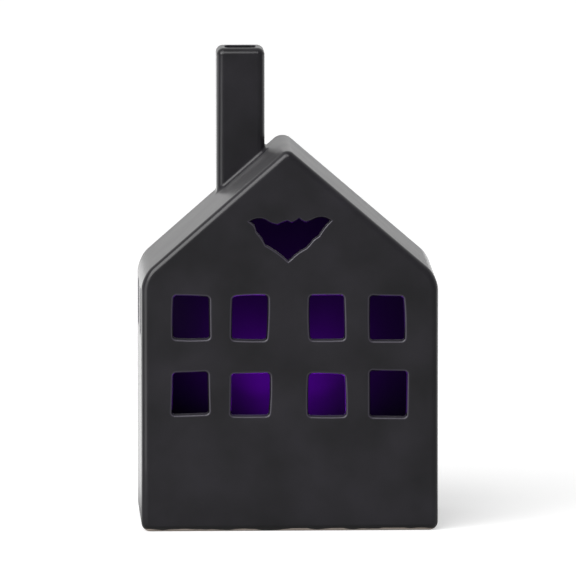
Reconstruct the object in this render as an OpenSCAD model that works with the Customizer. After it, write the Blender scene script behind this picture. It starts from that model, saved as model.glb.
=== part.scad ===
// Ceramic Halloween house: a hollow cast house with cut-out windows, a bat cut-out and an open chimney.
// A battery light sits in a hole in its floor. Millimetres, +Z up, the front wall faces -Y.
// The origin is on the table, under the middle of the house.

/* [House] */
// Width across the front wall
house_w = 124; // [118:1:150]
// Depth from the front wall to the back wall
house_d = 68; // [62:1:90]
// Height at which the wall and roof planes would meet
eave_h = 107; // [98:0.1:130]
// Rise of the roof from there to its sharp ridge line
roof_rise = 54; // [46:0.5:66]
// Thickness of the walls and the roof
wall_t = 4; // [3:0.1:5]
// Radius of the soft bend at the eaves
eave_r = 13; // [11:0.5:16]
// Radius along the ridge
ridge_r = 5; // [3:0.1:8]
// Radius of the lower corners of the front and back
base_r = 3.6; // [3.4:0.1:5]
// Radius round the edges of the front and back
edge_r = 3; // [1:0.1:3.2]
// Radius of the inside corners
inside_r = 6; // [4:0.1:6.5]

/* [Windows] */
// Width of a front window
window_w = 15.4; // [12:0.1:18]
// Height of every window
window_h = 18.8; // [14:0.1:21]
// Corner radius of every window
window_r = 1.2; // [0.6:0.1:3]
// Distance of the two inner columns from the middle
column_inner = 16.1; // [13:0.1:19]
// Distance from an inner column to the outer one
column_gap = 25.3; // [22:0.1:27]
// Drop of the upper row's middle below the eave height
row_drop = 16.5; // [16:0.1:24]
// Distance between the two rows
row_gap = 32.2; // [26:0.1:38]
// Width of a side window
side_window_w = 14; // [10:0.1:16]
// Distance of the side windows from the middle
side_window_y = 14.4; // [10:0.1:16]

/* [Bat] */
// Width over the wing tips
bat_w = 34.4; // [28:0.1:38]
// Height from the tail to the wing tops
bat_h = 18.8; // [14:0.1:22]
// Height of its middle above the eave height
bat_rise = 16.6; // [13:0.1:18]

/* [Chimney] */
// Width of the chimney, seen from the front
chimney_w = 20.4; // [16:0.1:24]
// Depth of the chimney
chimney_d = 17.5; // [14:0.1:20]
// Distance of its middle to the left of the ridge
chimney_x = 18.3; // [15:0.1:26]
// Distance from the back wall's face to the chimney's back
chimney_back = 2.5; // [2:0.1:8]
// Height of its top above the sharp ridge line
chimney_over = 36.8; // [20:0.1:50]
// Thickness of the chimney wall
chimney_t = 3.7; // [3:0.1:4.5]
// Radius of the chimney corners
chimney_r = 3.2; // [1.6:0.1:4]

/* [Foot and floor] */
// Width of the foot ring that stands on the table
foot_w = 7; // [6:0.1:9]
// Thickness of the floor
floor_t = 4.5; // [3.5:0.1:6]
// Gap round the battery box in the floor's hole
hole_gap = 0.6; // [0.4:0.1:1]

/* [Batteries] */
// Diameter of a battery
cell_d = 10.5; // [10:0.1:11]
// Length of a battery with its button
cell_l = 44.5; // [43:0.1:46]
// Diameter of the battery's button
nub_d = 3.8; // [3:0.1:5]
// Height of the battery's button
nub_h = 1; // [0.8:0.1:1.4]
// Clearance round a battery
cell_play = 0.3; // [0.2:0.05:0.5]
// Length of a pressed contact spring
spring_l = 4.8; // [4:0.1:6]
// Diameter of a contact spring
spring_d = 6.4; // [5.5:0.1:7.5]
// Thickness of the contact plates
contact_t = 0.4; // [0.3:0.05:0.6]

/* [Battery box] */
// Thickness of the box walls
box_wall = 1.6; // [1.4:0.1:2]
// Thickness of the rib between the batteries
rib_t = 3; // [2.8:0.1:4]
// Overhang of the flange round the box
flange_over = 3.5; // [3:0.1:4.5]
// Thickness of the flange and of the door
flange_t = 2; // [1.8:0.1:2.4]
// Gap between the flange and the table
lift = 1; // [0.8:0.1:1.5]
// Thickness of the silicone bead between flange and floor
seal_t = 0.5; // [0.4:0.1:1]
// Gap round the battery door
door_gap = 0.3; // [0.25:0.05:0.4]
// Width of the ledge that the door closes on
ledge = 1; // [0.8:0.1:1.2]
// Diameter of the door's hinge pins
pin_d = 1.2; // [1:0.1:1.3]
// Clearance round a hinge pin
pin_play = 0.05; // [0.03:0.01:0.08]
// Length of a hinge pin
pin_l = 1.4; // [1.2:0.1:1.6]
// Width of the door's latch tongue
tongue_w = 2.8; // [2:0.1:2.8]

/* [Switch] */
// Length of the switch case
switch_l = 12.6; // [12.2:0.1:14]
// Width of the switch case
switch_w = 6.6; // [6.2:0.1:7.5]
// Height of the switch case
switch_h = 5.2; // [4.6:0.1:6]
// Travel of the switch knob
travel = 3.5; // [2:0.1:4]
// Length of the knob along its travel
knob_l = 3.4; // [2.8:0.1:4]
// Width of the knob
knob_w = 3; // [2.4:0.1:3.4]
// Distance of the switch screws from the middle
ear_y = 8.2; // [7.9:0.1:8.4]

/* [Lamp board] */
// Length of the board
board_l = 26; // [25:0.1:30]
// Width of the board
board_w = 15; // [14:0.1:18]
// Thickness of the board
board_t = 1.2; // [1:0.1:1.6]
// Height of the posts under the board
post_h = 3; // [2.8:0.1:5]
// Diameter of the lamp
lamp_d = 5; // [4.6:0.1:5.4]
// Height of the lamp above the board
lamp_h = 8.6; // [7:0.1:10]
// Distance of the board screws from the middle
board_screw_x = 10; // [9.6:0.1:10.4]
// Diameter of the screws
screw_d = 2; // [1.8:0.1:2.2]
// Diameter of the wires
wire_d = 1.3; // [1:0.1:1.6]

/* [Hidden] */
$fn = 48;
// Roof
roof_a = atan(roof_rise / (house_w / 2));
ridge_h = eave_h + roof_rise;
inside_w = house_w - 2 * wall_t;
inside_d = house_d - 2 * wall_t;
row_high = eave_h - row_drop;
row_low = row_high - row_gap;
bat_z = eave_h + bat_rise;
chimney_y = house_d / 2 - chimney_back - chimney_d / 2;
chimney_top = ridge_h + chimney_over;
flue_r = chimney_r - 0.8;
recess_r = foot_w - edge_r;
// Heights in the light, from the table up
foot_h = lift + flange_t + seal_t;
floor_top = foot_h + floor_t;
door_t = flange_t;
bay_floor = lift + door_t;
cell_z = bay_floor + 2 * cell_play + cell_d / 2;
bay_top = cell_z + cell_d / 2 + cell_play;
deck_top = bay_top + box_wall;
// Lengths along the box: battery bay, partition, switch well
bay_w = cell_d + 2 * cell_play;
lane = (bay_w + rib_t) / 2;
bay_half = bay_w + rib_t / 2;
bay_l = cell_l + spring_l + 2 * contact_t;
well_l = switch_w + 2.4;
box_l = bay_l + well_l + 3 * box_wall;
box_w = 2 * bay_half + 2 * box_wall;
bay_x0 = -box_l / 2 + box_wall;
bay_x1 = bay_x0 + bay_l;
well_x0 = bay_x1 + box_wall;
switch_x = well_x0 + well_l / 2;
box_r = 2;
// Door
door_half = bay_half + ledge - door_gap;
door_x1 = bay_x1 + ledge - door_gap;
hinge_x = bay_x0 + door_gap + door_t / 2;
hinge_z = lift + door_t / 2;
tongue_t = 1.2;
tongue_h = 5.4;
rib_start = 1;
latch_room = tongue_t + 3.8;
groove_w = 0.9;
groove_l = door_half;
nose_z = bay_floor + tongue_h - 2.2;
nose_h = 1.4;
// Contacts
plate_w = 8.4;
plate_z0 = bay_floor + 0.8;
plate_h = bay_top - 0.4 - plate_z0;
tag_w = 3;
tag_top = deck_top + 2.6;
coil_wire = 0.6;
coil_turns = 3.5;
// Switch
case_z = lift + flange_t;
ear_t = 0.6;
ear_l = 2 * ear_y + 3.6;
slide_gap = 0.15;
block_l = knob_l + 1.6;
block_w = knob_w + 1.6;
block_h = 1.8;
knob_tip = 0.4;
pin_pitch = 4;
pin_top = case_z + switch_h + 3.4;
// Lamp board
board_z = deck_top + post_h;
board_top = board_z + board_t;
post_d = 4.6;
lead_gap = 1.27;
lead_d = 0.5;
resistor_d = 2.2;
resistor_l = 6;
resistor_y = -lamp_d / 2 - 2.5;
resistor_leg = resistor_l / 2 + 1.6;
head_d = 1.8 * screw_d;
head_h = 0.5 * screw_d;
hole_d = screw_d + 0.2;
// Solder pads and wires
pad_x = board_l / 2 - 1.1 * wire_d;
pad_y = 0.3 * board_w;
wire_rise = 2.3 * wire_d;
long_rise = 0.8 * (board_top - pin_top);

// Points from p to q on an arc that bulges by sag to the left of the way from p to q.
function arc_to(p, q, sag, n) = [
    for (i = [1 : n])
        let (t = i / n, d = q - p, s = 4 * sag * t * (1 - t) / norm(d))
        p + t * d + s * [-d[1], d[0]]
];

// Right half of the bat, unit size, from the notch between the ears down to the tail.
bat_notch = [0, 0.35];
bat_ear = [0.07, 0.43];
bat_neck = [0.18, 0.335];
bat_tip = [0.5, 0.4];
bat_wing = [0.37, 0.09];
bat_elbow = [0.24, -0.19];
bat_tail = [0, -0.5];
bat_half = concat(
    [bat_notch],
    arc_to(bat_notch, bat_ear, -0.01, 3),
    arc_to(bat_ear, bat_neck, -0.015, 3),
    arc_to(bat_neck, bat_tip, 0.08, 6),
    arc_to(bat_tip, bat_wing, -0.015, 5),
    arc_to(bat_wing, bat_elbow, -0.017, 5),
    arc_to(bat_elbow, bat_tail, -0.017, 5)
);

// Rounded rectangle about the origin.
module round_rect(w, h, r) {
    square([w - 2 * r, h], center = true);
    square([w, h - 2 * r], center = true);
    for (x = [-1, 1], y = [-1, 1])
        translate([x * (w / 2 - r), y * (h / 2 - r)])
            circle(r);
}

// Upright rounded block from z0 to z1.
module round_block(w, d, r, z0, z1) {
    translate([0, 0, z0])
        linear_extrude(z1 - z0)
            round_rect(w, d, r);
}

// Block between two heights, centred on x and y.
module block(x, y, w, d, z0, z1) {
    translate([x - w / 2, y - d / 2, z0])
        cube([w, d, z1 - z0]);
}

// Upright round bar between two heights.
module bar(x, y, d, z0, z1) {
    translate([x, y, z0])
        cylinder(d = d, h = z1 - z0);
}

// Disc with a round edge about Z: radius r, edge radius rim.
module round_disc(r, rim, n) {
    rotate_extrude($fn = n)
        intersection() {
            translate([r - rim, 0])
                circle(rim, $fn = n / 2);
            translate([0, -rim])
                square([r, 2 * rim]);
        }
}

// Round-edged disc at one corner of the house, lying in the XZ plane.
module corner_disc(x, y, z, r, rim) {
    translate([x, y, z])
        rotate([90, 0, 0])
            round_disc(r, rim, 48);
}

// The gabled body, inset by t from the outside, with its corner radii and the radius round its ends.
module gable(t, bend, ridge, low, low_z, rim) {
    half = house_w / 2 - t;
    bend_z = eave_h - (t + bend) * (1 - sin(roof_a)) / cos(roof_a);
    ridge_z = ridge_h - (t + ridge) / cos(roof_a);
    hull()
        for (y = [-1, 1] * (house_d / 2 - t - rim)) {
            corner_disc(0, y, ridge_z, ridge, rim);
            for (x = [-1, 1]) {
                corner_disc(x * (half - bend), y, bend_z, bend, rim);
                corner_disc(x * (half - low), y, low_z + low, low, rim);
            }
        }
}

// Chimney block with a rounded rim, run down into the roof.
module chimney_block() {
    rim = min(chimney_r, 0.8 * chimney_t);
    hull()
        for (x = [-1, 1], y = [-1, 1])
            translate([x * (chimney_w / 2 - chimney_r), y * (chimney_d / 2 - chimney_r), 0]) {
                translate([0, 0, chimney_top - rim])
                    round_disc(chimney_r, rim, 32);
                translate([0, 0, eave_h])
                    cylinder(r = chimney_r, h = 1, $fn = 32);
            }
}

// Opening through the front wall, drawn in the wall's plane.
module front_cut(x, z) {
    translate([x, -house_d / 2 + wall_t + 3, z])
        rotate([90, 0, 0])
            linear_extrude(wall_t + 4)
                children();
}

// Opening through both side walls, drawn in the wall's plane.
module side_cut(side, y, z) {
    translate([side * (house_w / 2 - wall_t - 3), y, z])
        rotate([90, 0, side * 90])
            linear_extrude(wall_t + 4)
                children();
}

module bat_outline() {
    scale([bat_w, bat_h])
        polygon(concat(bat_half, [for (i = [len(bat_half) - 2 : -1 : 1]) [-bat_half[i][0], bat_half[i][1]]]));
}

// Hollow cast shell: walls, roof, chimney with its flue, floor and foot ring.
module house_shell() {
    rim = min(inside_r, eave_r - wall_t - 0.2);
    color("#2b2b2d")
        difference() {
            union() {
                gable(0, eave_r, ridge_r, base_r, 0, edge_r);
                translate([-chimney_x, chimney_y, 0])
                    chimney_block();
            }
            gable(wall_t, eave_r - wall_t, rim + 0.4, rim + 0.4, floor_top, rim);
            translate([-chimney_x, chimney_y, 0])
                round_block(chimney_w - 2 * chimney_t, chimney_d - 2 * chimney_t, flue_r, eave_h,
                    chimney_top + 1);
            for (x = [-1, 1], z = [row_low, row_high], c = [column_inner, column_inner + column_gap])
                front_cut(x * c, z)
                    round_rect(window_w, window_h, window_r);
            for (side = [-1, 1], y = [-1, 1])
                side_cut(side, y * side_window_y, row_high)
                    round_rect(side_window_w, window_h, window_r);
            front_cut(0, bat_z)
                bat_outline();
            round_block(house_w - 2 * foot_w, house_d - 2 * foot_w, recess_r, -1, foot_h);
            round_block(box_l + 2 * hole_gap, box_w + 2 * hole_gap, box_r + hole_gap, 0,
                floor_top + inside_r);
        }
}

// Silicone bead that seals and holds the flange under the floor.
module floor_seal() {
    color("#d8d8d2")
        difference() {
            round_block(box_l + 2 * flange_over - 1, box_w + 2 * flange_over - 1, box_r + flange_over - 0.5,
                case_z, foot_h);
            round_block(box_l + 2 * hole_gap + 0.6, box_w + 2 * hole_gap + 0.6, box_r + hole_gap + 0.3,
                case_z - 1, foot_h + 1);
        }
}

// Moulded box: battery bay open below, switch well open above, flange, ledge, hinge holes and board posts.
module battery_box() {
    color("#1d1d1f") {
        difference() {
            union() {
                round_block(box_l + 2 * flange_over, box_w + 2 * flange_over, box_r + flange_over,
                    lift, case_z);
                round_block(box_l, box_w, box_r, lift, deck_top);
                for (x = [-1, 1])
                    bar(x * board_screw_x, 0, post_d, deck_top - 0.5, board_z);
            }
            translate([bay_x0, -bay_half, lift - 1])
                cube([bay_l, 2 * bay_half, bay_top - lift + 1]);
            translate([bay_x0, -bay_half - ledge, lift - 1])
                cube([bay_l + ledge, 2 * (bay_half + ledge), door_t + 1.1]);
            translate([well_x0, -bay_half, case_z])
                cube([well_l, 2 * bay_half, deck_top]);
            block(switch_x, 0, knob_w + 0.6, knob_l + travel + 0.8, lift - 1, case_z + 1);
            for (y = [-1, 1]) {
                bar(switch_x, y * ear_y, hole_d, lift - 1, case_z + 1);
                bar(switch_x, y * ear_y, head_d + 0.3, lift - 1, lift + head_h);
            }
            translate([hinge_x, 0, hinge_z])
                rotate([90, 0, 0])
                    cylinder(d = pin_d + 2 * pin_play, h = 2 * (door_half + door_gap + pin_l), center = true);
            block(bay_x1 + box_wall / 2, 0, box_wall + 1, tongue_w + 0.8, nose_z - 0.4,
                nose_z + nose_h + 0.6);
            for (y = [-1, 1])
                block(bay_x1 - contact_t / 2, y * lane, contact_t + 0.6, tag_w + 0.6, bay_top - 1,
                    deck_top + 1);
            for (x = [-1, 1])
                bar(x * board_screw_x, 0, screw_d + 0.1, bay_top + 0.6, board_z + 1);
        }
        translate([bay_x0 + rib_start, -rib_t / 2, bay_floor + 1])
            cube([bay_l - rib_start - latch_room, rib_t, bay_top - bay_floor - 0.9]);
    }
}

// Door with a round hinge edge, two hinge pins, grip grooves and a latch tongue.
module battery_door() {
    color("#232325")
        difference() {
            union() {
                translate([hinge_x, -door_half, lift])
                    cube([door_x1 - hinge_x, 2 * door_half, door_t]);
                translate([hinge_x, 0, hinge_z])
                    rotate([90, 0, 0])
                        cylinder(d = door_t, h = 2 * door_half, center = true);
                translate([hinge_x, 0, hinge_z])
                    rotate([90, 0, 0])
                        cylinder(d = pin_d, h = 2 * (door_half + pin_l), center = true);
                block(bay_x1 - 0.6 - tongue_t / 2, 0, tongue_t, tongue_w, bay_floor - 0.5,
                    bay_floor + tongue_h);
                translate([bay_x1 - 0.7, tongue_w / 2, nose_z])
                    rotate([90, 0, 0])
                        linear_extrude(tongue_w)
                            polygon([[0, 0], [1.2, 0], [1.2, 0.4], [0, nose_h]]);
            }
            for (i = [0 : 4])
                block(door_x1 - (5 + 2 * i) * groove_w, 0, groove_w, groove_l, lift - 1, lift + 0.5);
        }
}

// One battery lying along X, button towards +X.
module cell(x) {
    translate([x, 0, cell_z])
        rotate([0, 90, 0]) {
            cylinder(d = cell_d, h = cell_l - nub_h);
            cylinder(d = nub_d, h = cell_l);
        }
}

module front_battery() {
    color("#3b5a78")
        translate([0, -lane, 0])
            cell(bay_x1 - contact_t - cell_l);
}

module rear_battery() {
    color("#3b5a78")
        translate([bay_x0 + contact_t + cell_l, lane, 0])
            rotate([0, 0, 180])
                cell(0);
}

// Contact plate against the partition, with a solder tag through the deck.
module end_contact(y) {
    x = bay_x1 - contact_t / 2;
    color("#c9c6b8") {
        block(x, y, contact_t, plate_w, plate_z0, plate_z0 + plate_h);
        block(x, y, contact_t, tag_w, plate_z0 + plate_h - 1, tag_top);
    }
}

module positive_contact() {
    end_contact(-lane);
}

module negative_contact() {
    end_contact(lane);
}

// Plate at the hinge end that joins both batteries.
module bridge_contact() {
    color("#c9c6b8")
        block(bay_x0 + contact_t / 2, 0, contact_t, 2 * lane + plate_w, plate_z0, plate_z0 + plate_h);
}

// Swept tube along points p, with one sideways and one upward direction per point.
module tube(p, a, b, r, sides) {
    n = len(p);
    points = [
        for (i = [0 : n - 1], k = [0 : sides - 1])
            p[i] + r * (cos(360 * k / sides) * a[i] + sin(360 * k / sides) * b[i])
    ];
    skin = [
        for (i = [0 : n - 2], k = [0 : sides - 1])
            let (k2 = (k + 1) % sides)
            [i * sides + k, i * sides + k2, (i + 1) * sides + k2, (i + 1) * sides + k]
    ];
    first = [for (k = [sides - 1 : -1 : 0]) k];
    last = [for (k = [0 : sides - 1]) (n - 1) * sides + k];
    polyhedron(points, concat(skin, [first, last]), convexity = 10);
}

// Cone-shaped contact spring along +X from the origin; the wide end is at the plate.
module coil_spring() {
    steps = 16 * coil_turns;
    gap = coil_wire / 2 + 0.05;
    turn = [for (i = [0 : steps]) 360 * coil_turns * i / steps];
    radius = [for (i = [0 : steps]) (spring_d - coil_wire) / 2 - 1.1 * i / steps];
    centre = [for (i = [0 : steps]) gap + (spring_l - 2 * gap) * i / steps];
    path = [for (i = [0 : steps]) [centre[i], radius[i] * cos(turn[i]), radius[i] * sin(turn[i])]];
    out = [for (i = [0 : steps]) [0, cos(turn[i]), sin(turn[i])]];
    along = [for (i = [0 : steps]) [1, 0, 0]];
    color("#d2d2cc")
        tube(path, along, out, coil_wire / 2, 8);
}

module bridge_spring() {
    translate([bay_x0 + contact_t, -lane, cell_z])
        coil_spring();
}

module negative_spring() {
    translate([bay_x1 - contact_t, lane, cell_z])
        rotate([0, 0, 180])
            coil_spring();
}

// Pressed switch case with two screw ears and three solder pins.
module switch_case() {
    color("#a9abad") {
        difference() {
            union() {
                block(switch_x, 0, switch_w, ear_l, case_z, case_z + ear_t);
                block(switch_x, 0, switch_w, switch_l, case_z, case_z + switch_h);
            }
            block(switch_x, 0, knob_w + 0.4, knob_l + travel + 0.6, case_z - 1, case_z + 1);
            block(switch_x, 0, block_w + 2 * slide_gap, block_l + travel + 2 * slide_gap,
                case_z + ear_t, case_z + ear_t + block_h + 2 * slide_gap);
            for (y = [-1, 1])
                bar(switch_x, y * ear_y, hole_d, case_z - 1, case_z + ear_t + 1);
        }
        for (i = [-1 : 1])
            block(switch_x, i * pin_pitch, 0.5, 1.2, case_z + switch_h - 0.5, pin_top);
    }
}

// Slider and knob in one piece, drawn switched on, at the front end of its travel.
module switch_knob() {
    y = -travel / 2;
    z = case_z + ear_t + slide_gap;
    color("#e4e4e0") {
        block(switch_x, y, block_w, block_l, z, z + block_h);
        block(switch_x, y, knob_w, knob_l, knob_tip, z + 0.5);
    }
}

// Pan-head screw pointing up from z, or down where up is -1.
module screw(x, y, z, up, grip) {
    translate([x, y, z])
        rotate([up > 0 ? 0 : 180, 0, 0]) {
            translate([0, 0, -head_h])
                cylinder(d = head_d, h = head_h);
            translate([0, 0, -0.5])
                cylinder(d = screw_d, h = grip + 0.5);
        }
}

module switch_screws() {
    color("#b4b6b8")
        for (y = [-1, 1])
            screw(switch_x, y * ear_y, lift + head_h, 1, flange_t - head_h + ear_t + 0.8);
}

// Board on two posts over the deck.
module lamp_board() {
    color("#2f6b44")
        difference() {
            block(0, 0, board_l, board_w, board_z, board_top);
            for (x = [-1, 1]) {
                bar(x * board_screw_x, 0, hole_d, board_z - 1, board_top + 1);
                bar(x * lead_gap, 0, lead_d + 0.3, board_z - 1, board_top + 1);
                bar(x * resistor_leg, resistor_y, lead_d + 0.3, board_z - 1, board_top + 1);
            }
        }
}

module board_screws() {
    color("#b4b6b8")
        for (x = [-1, 1])
            screw(x * board_screw_x, 0, board_top, -1, board_t + post_h - 0.4);
}

// Round-nosed purple lamp.
module lamp_lens() {
    r = lamp_d / 2;
    dome = [for (a = [0 : 10 : 90]) [r * cos(a), lamp_h - r + r * sin(a)]];
    color("#7a2fd0")
        translate([0, 0, board_top])
            rotate_extrude()
                polygon(concat([[0, 0], [r + 0.4, 0], [r + 0.4, 1], [r, 1]], dome));
}

module lamp_leads() {
    color("#cfcfcc")
        for (x = [-1, 1])
            bar(x * lead_gap, 0, lead_d, board_z - 1.4, board_top);
}

// Resistor lying on the board, with both leads bent down through it.
module resistor() {
    z = board_top + resistor_d / 2;
    color("#c9b48a")
        union() {
            translate([-resistor_l / 2, resistor_y, z])
                rotate([0, 90, 0])
                    cylinder(d = resistor_d, h = resistor_l);
            translate([-resistor_leg, resistor_y, z])
                rotate([0, 90, 0])
                    cylinder(d = lead_d, h = 2 * resistor_leg);
            for (x = [-1, 1])
                bar(x * resistor_leg, resistor_y, lead_d, board_z - 1.4, z);
        }
}

// Short wire that leaves p upwards, arches over by rise and comes down on q.
module wire(p, q, rise) {
    steps = 16;
    flat = [q[0] - p[0], q[1] - p[1], 0];
    ahead = flat / norm(flat);
    side = [-ahead[1], ahead[0], 0];
    turn = [for (i = [0 : steps]) 180 * i / steps];
    path = [
        for (t = turn)
            p + flat * (1 - cos(t)) / 2 + [0, 0, (q[2] - p[2]) * (1 - cos(t)) / 2 + rise * sin(t)]
    ];
    slope = [
        for (t = turn)
            ahead * norm(flat) * sin(t) / 2 + [0, 0, (q[2] - p[2]) * sin(t) / 2 + rise * cos(t)]
    ];
    sideways = [for (t = turn) side];
    normal = [for (s = slope) cross(s / norm(s), side)];
    tube(path, normal, sideways, wire_d / 2, 10);
}

module red_wire() {
    color("#b3202a")
        wire([bay_x1 - contact_t / 2, -lane, tag_top], [switch_x, -pin_pitch, pin_top], wire_rise);
}

module yellow_wire() {
    color("#d9b13b")
        wire([switch_x, 0, pin_top], [pad_x, -pad_y, board_top], long_rise);
}

module black_wire() {
    color("#18181a")
        wire([bay_x1 - contact_t / 2, lane, tag_top], [pad_x, pad_y, board_top], wire_rise);
}

house_shell();
floor_seal();
battery_box();
battery_door();
front_battery();
rear_battery();
positive_contact();
negative_contact();
bridge_contact();
bridge_spring();
negative_spring();
switch_case();
switch_knob();
switch_screws();
lamp_board();
board_screws();
lamp_lens();
lamp_leads();
resistor();
red_wire();
yellow_wire();
black_wire();
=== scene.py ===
"""Looks of the ceramic Halloween house: a satin black cast shell, lit from inside by a purple lamp.

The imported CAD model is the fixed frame. Sizes are metres, +Z is up and the front wall faces -Y.
"""

import functools
import math
import random

import bmesh
import bpy
from mathutils import Matrix, Vector


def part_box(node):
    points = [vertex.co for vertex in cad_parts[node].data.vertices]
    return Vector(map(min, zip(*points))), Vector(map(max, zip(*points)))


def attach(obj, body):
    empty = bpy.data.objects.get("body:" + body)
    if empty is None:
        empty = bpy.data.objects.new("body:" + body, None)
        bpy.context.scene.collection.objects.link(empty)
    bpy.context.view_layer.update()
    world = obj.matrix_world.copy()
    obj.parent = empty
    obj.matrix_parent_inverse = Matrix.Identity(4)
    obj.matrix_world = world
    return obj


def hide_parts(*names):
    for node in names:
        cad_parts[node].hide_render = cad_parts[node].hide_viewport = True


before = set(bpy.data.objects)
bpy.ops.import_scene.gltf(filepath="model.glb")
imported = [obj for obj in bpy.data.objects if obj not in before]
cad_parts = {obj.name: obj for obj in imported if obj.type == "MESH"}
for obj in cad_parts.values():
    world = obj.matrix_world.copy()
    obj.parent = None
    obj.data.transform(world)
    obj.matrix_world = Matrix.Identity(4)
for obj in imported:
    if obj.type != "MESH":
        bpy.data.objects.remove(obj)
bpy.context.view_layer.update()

bl_info = {
    "name": "Ceramic Halloween House",
    "version": (1, 0, 0),
    "blender": (4, 5, 0),
    "location": "View3D > Sidebar > Halloween House",
    "description": "Cast ceramic house with cut windows, a bat opening and a battery lamp in its floor",
    "category": "Object",
}

MM = 0.001
HALF_W, HALF_D, HOUSE_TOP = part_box("house_shell")[1]
BOX_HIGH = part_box("battery_box")[1]
LAMP_LOW, LAMP_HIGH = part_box("lamp_lens")

PAST = 1 * MM  # How far a cutter starts outside what it cuts
WELD = 0.001 * MM  # Points nearer than this become one
SLIVER = 0.0005 * MM  # Edges shorter than this are dropped
RIDGE_EXTRA = 1.2 * MM  # Added to the inside radius along the room's ridge and the sides of its floor
FLUE_CORNER = 2.4 * MM  # Corner radius of the flue
FLUE_LIP = 0.6 * MM  # Softened edge of the flue's mouth
FLUE_TURN = 0.7 * MM  # How far the glaze reaches into the flue
FLUE_SLACK = 0.1 * MM  # How far outside the flue's planes its faces still count as inside
HOLE_CORNER = 2.6 * MM  # Corner radius of the hole in the floor
FOOT_LIP = 0.8 * MM  # Softened inner edge of the foot ring
BAT_TURN = 0.1 * MM  # How far the glaze reaches in under the bat's upper edge
WASH_SLACK = 1.2 * MM  # How far outside the room's planes its rounded faces still count as inside
LIP_THIN_AND_LIT = 0.72  # How light a window's lower lips are made, from 0 for the plain glaze to 1 for the full edge grey; partly thin glaze, partly painted highlight
BAT_THIN_AND_LIT = 1.0  # The same on the bat's lower lips
SIDE_LIP = 0.7  # The same on upright lips
UPPER_LIP = 0.6  # The same on upper lips
CUT_SEED = 31  # Sets how the corners of the hand-cut windows stray
FOOT_INSET = (3.8 * MM, 3.2 * MM)  # From the outline to where the foot meets the floor, across and along
SWEEP = 6.0  # Half the width of the white floor, metres
LIGHT_AIM = Vector((0, 0, 0.1))  # What the softboxes face
GLOW_COLOUR = (0.3, 0.0, 1.0)  # Linear colour of the lamp's light
GLOW_GAP = 1.4 * MM  # From the top of the lens up to the light that stands for its glow
GLOW_RADIUS = 1.2 * MM  # Size of that light

# How far each hand-cut front window strays from its place (across, up) and size (wider, taller), millimetres.
# From left to right, the lower row first.
WINDOW_STRAYS = (
    (-0.1, 0.15, -0.7, -1.3), (-0.6, -0.45, 0.5, -1.1), (-0.7, -0.85, -0.5, -1.7), (-0.4, -0.55, 0.1, 0.5),
    (0.2, -0.35, -0.2, -0.9), (-0.7, -0.55, -1.0, -0.3), (-0.5, -0.45, -1.4, 0.2), (-0.8, -0.95, -1.4, 0.1))

# Corners of the bat in millimetres from its middle, with the sag and steps of the curve that leads to each:
# over the left wing to the ears and the right wing, then down the scalloped edges to the tail and back.
BAT_CORNERS = (
    (-16.7, 6.9, -0.7, 5), (-10.4, 7.7, 0.8, 4), (-5.2, 5.5, -0.35, 4), (-1.0, 7.1, 0.15, 3),
    (0.8, 6.4, -0.15, 3), (3.8, 8.1, -0.2, 3), (6.7, 6.5, -0.2, 3), (10.9, 8.2, -0.1, 3),
    (17.0, 7.1, 0.85, 5), (12.0, 0.7, -0.3, 4), (9.4, -1.2, -0.1, 3), (6.6, -4.4, 0.15, 3),
    (1.5, -7.8, -0.2, 4), (-0.7, -9.8, 0.1, 3), (-10.1, -3.0, -0.4, 4), (-13.9, 2.6, -0.3, 4))


def linear(hex_colour):
    """sRGB hex such as #2b2b2d as linear red, green, blue and full alpha."""
    channels = [int(hex_colour[i:i + 2], 16) / 255 for i in (1, 3, 5)]
    return [c / 12.92 if c <= 0.04045 else ((c + 0.055) / 1.055) ** 2.4 for c in channels] + [1.0]


def length(name, description, millimetres):
    """A length that the user may change, kept in metres."""
    return bpy.props.FloatProperty(
        name=name, description=description, default=millimetres * MM, min=0.0, unit="LENGTH", precision=5)


def tint(name, description, hex_colour):
    """A colour that the user may change."""
    return bpy.props.FloatVectorProperty(
        name=name, description=description, default=linear(hex_colour), size=4, min=0.0, max=1.0,
        subtype="COLOR")


def angle(name, description, degrees):
    """An angle that the user may change, kept in radians."""
    return bpy.props.FloatProperty(
        name=name, description=description, default=math.radians(degrees), subtype="ANGLE")


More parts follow.
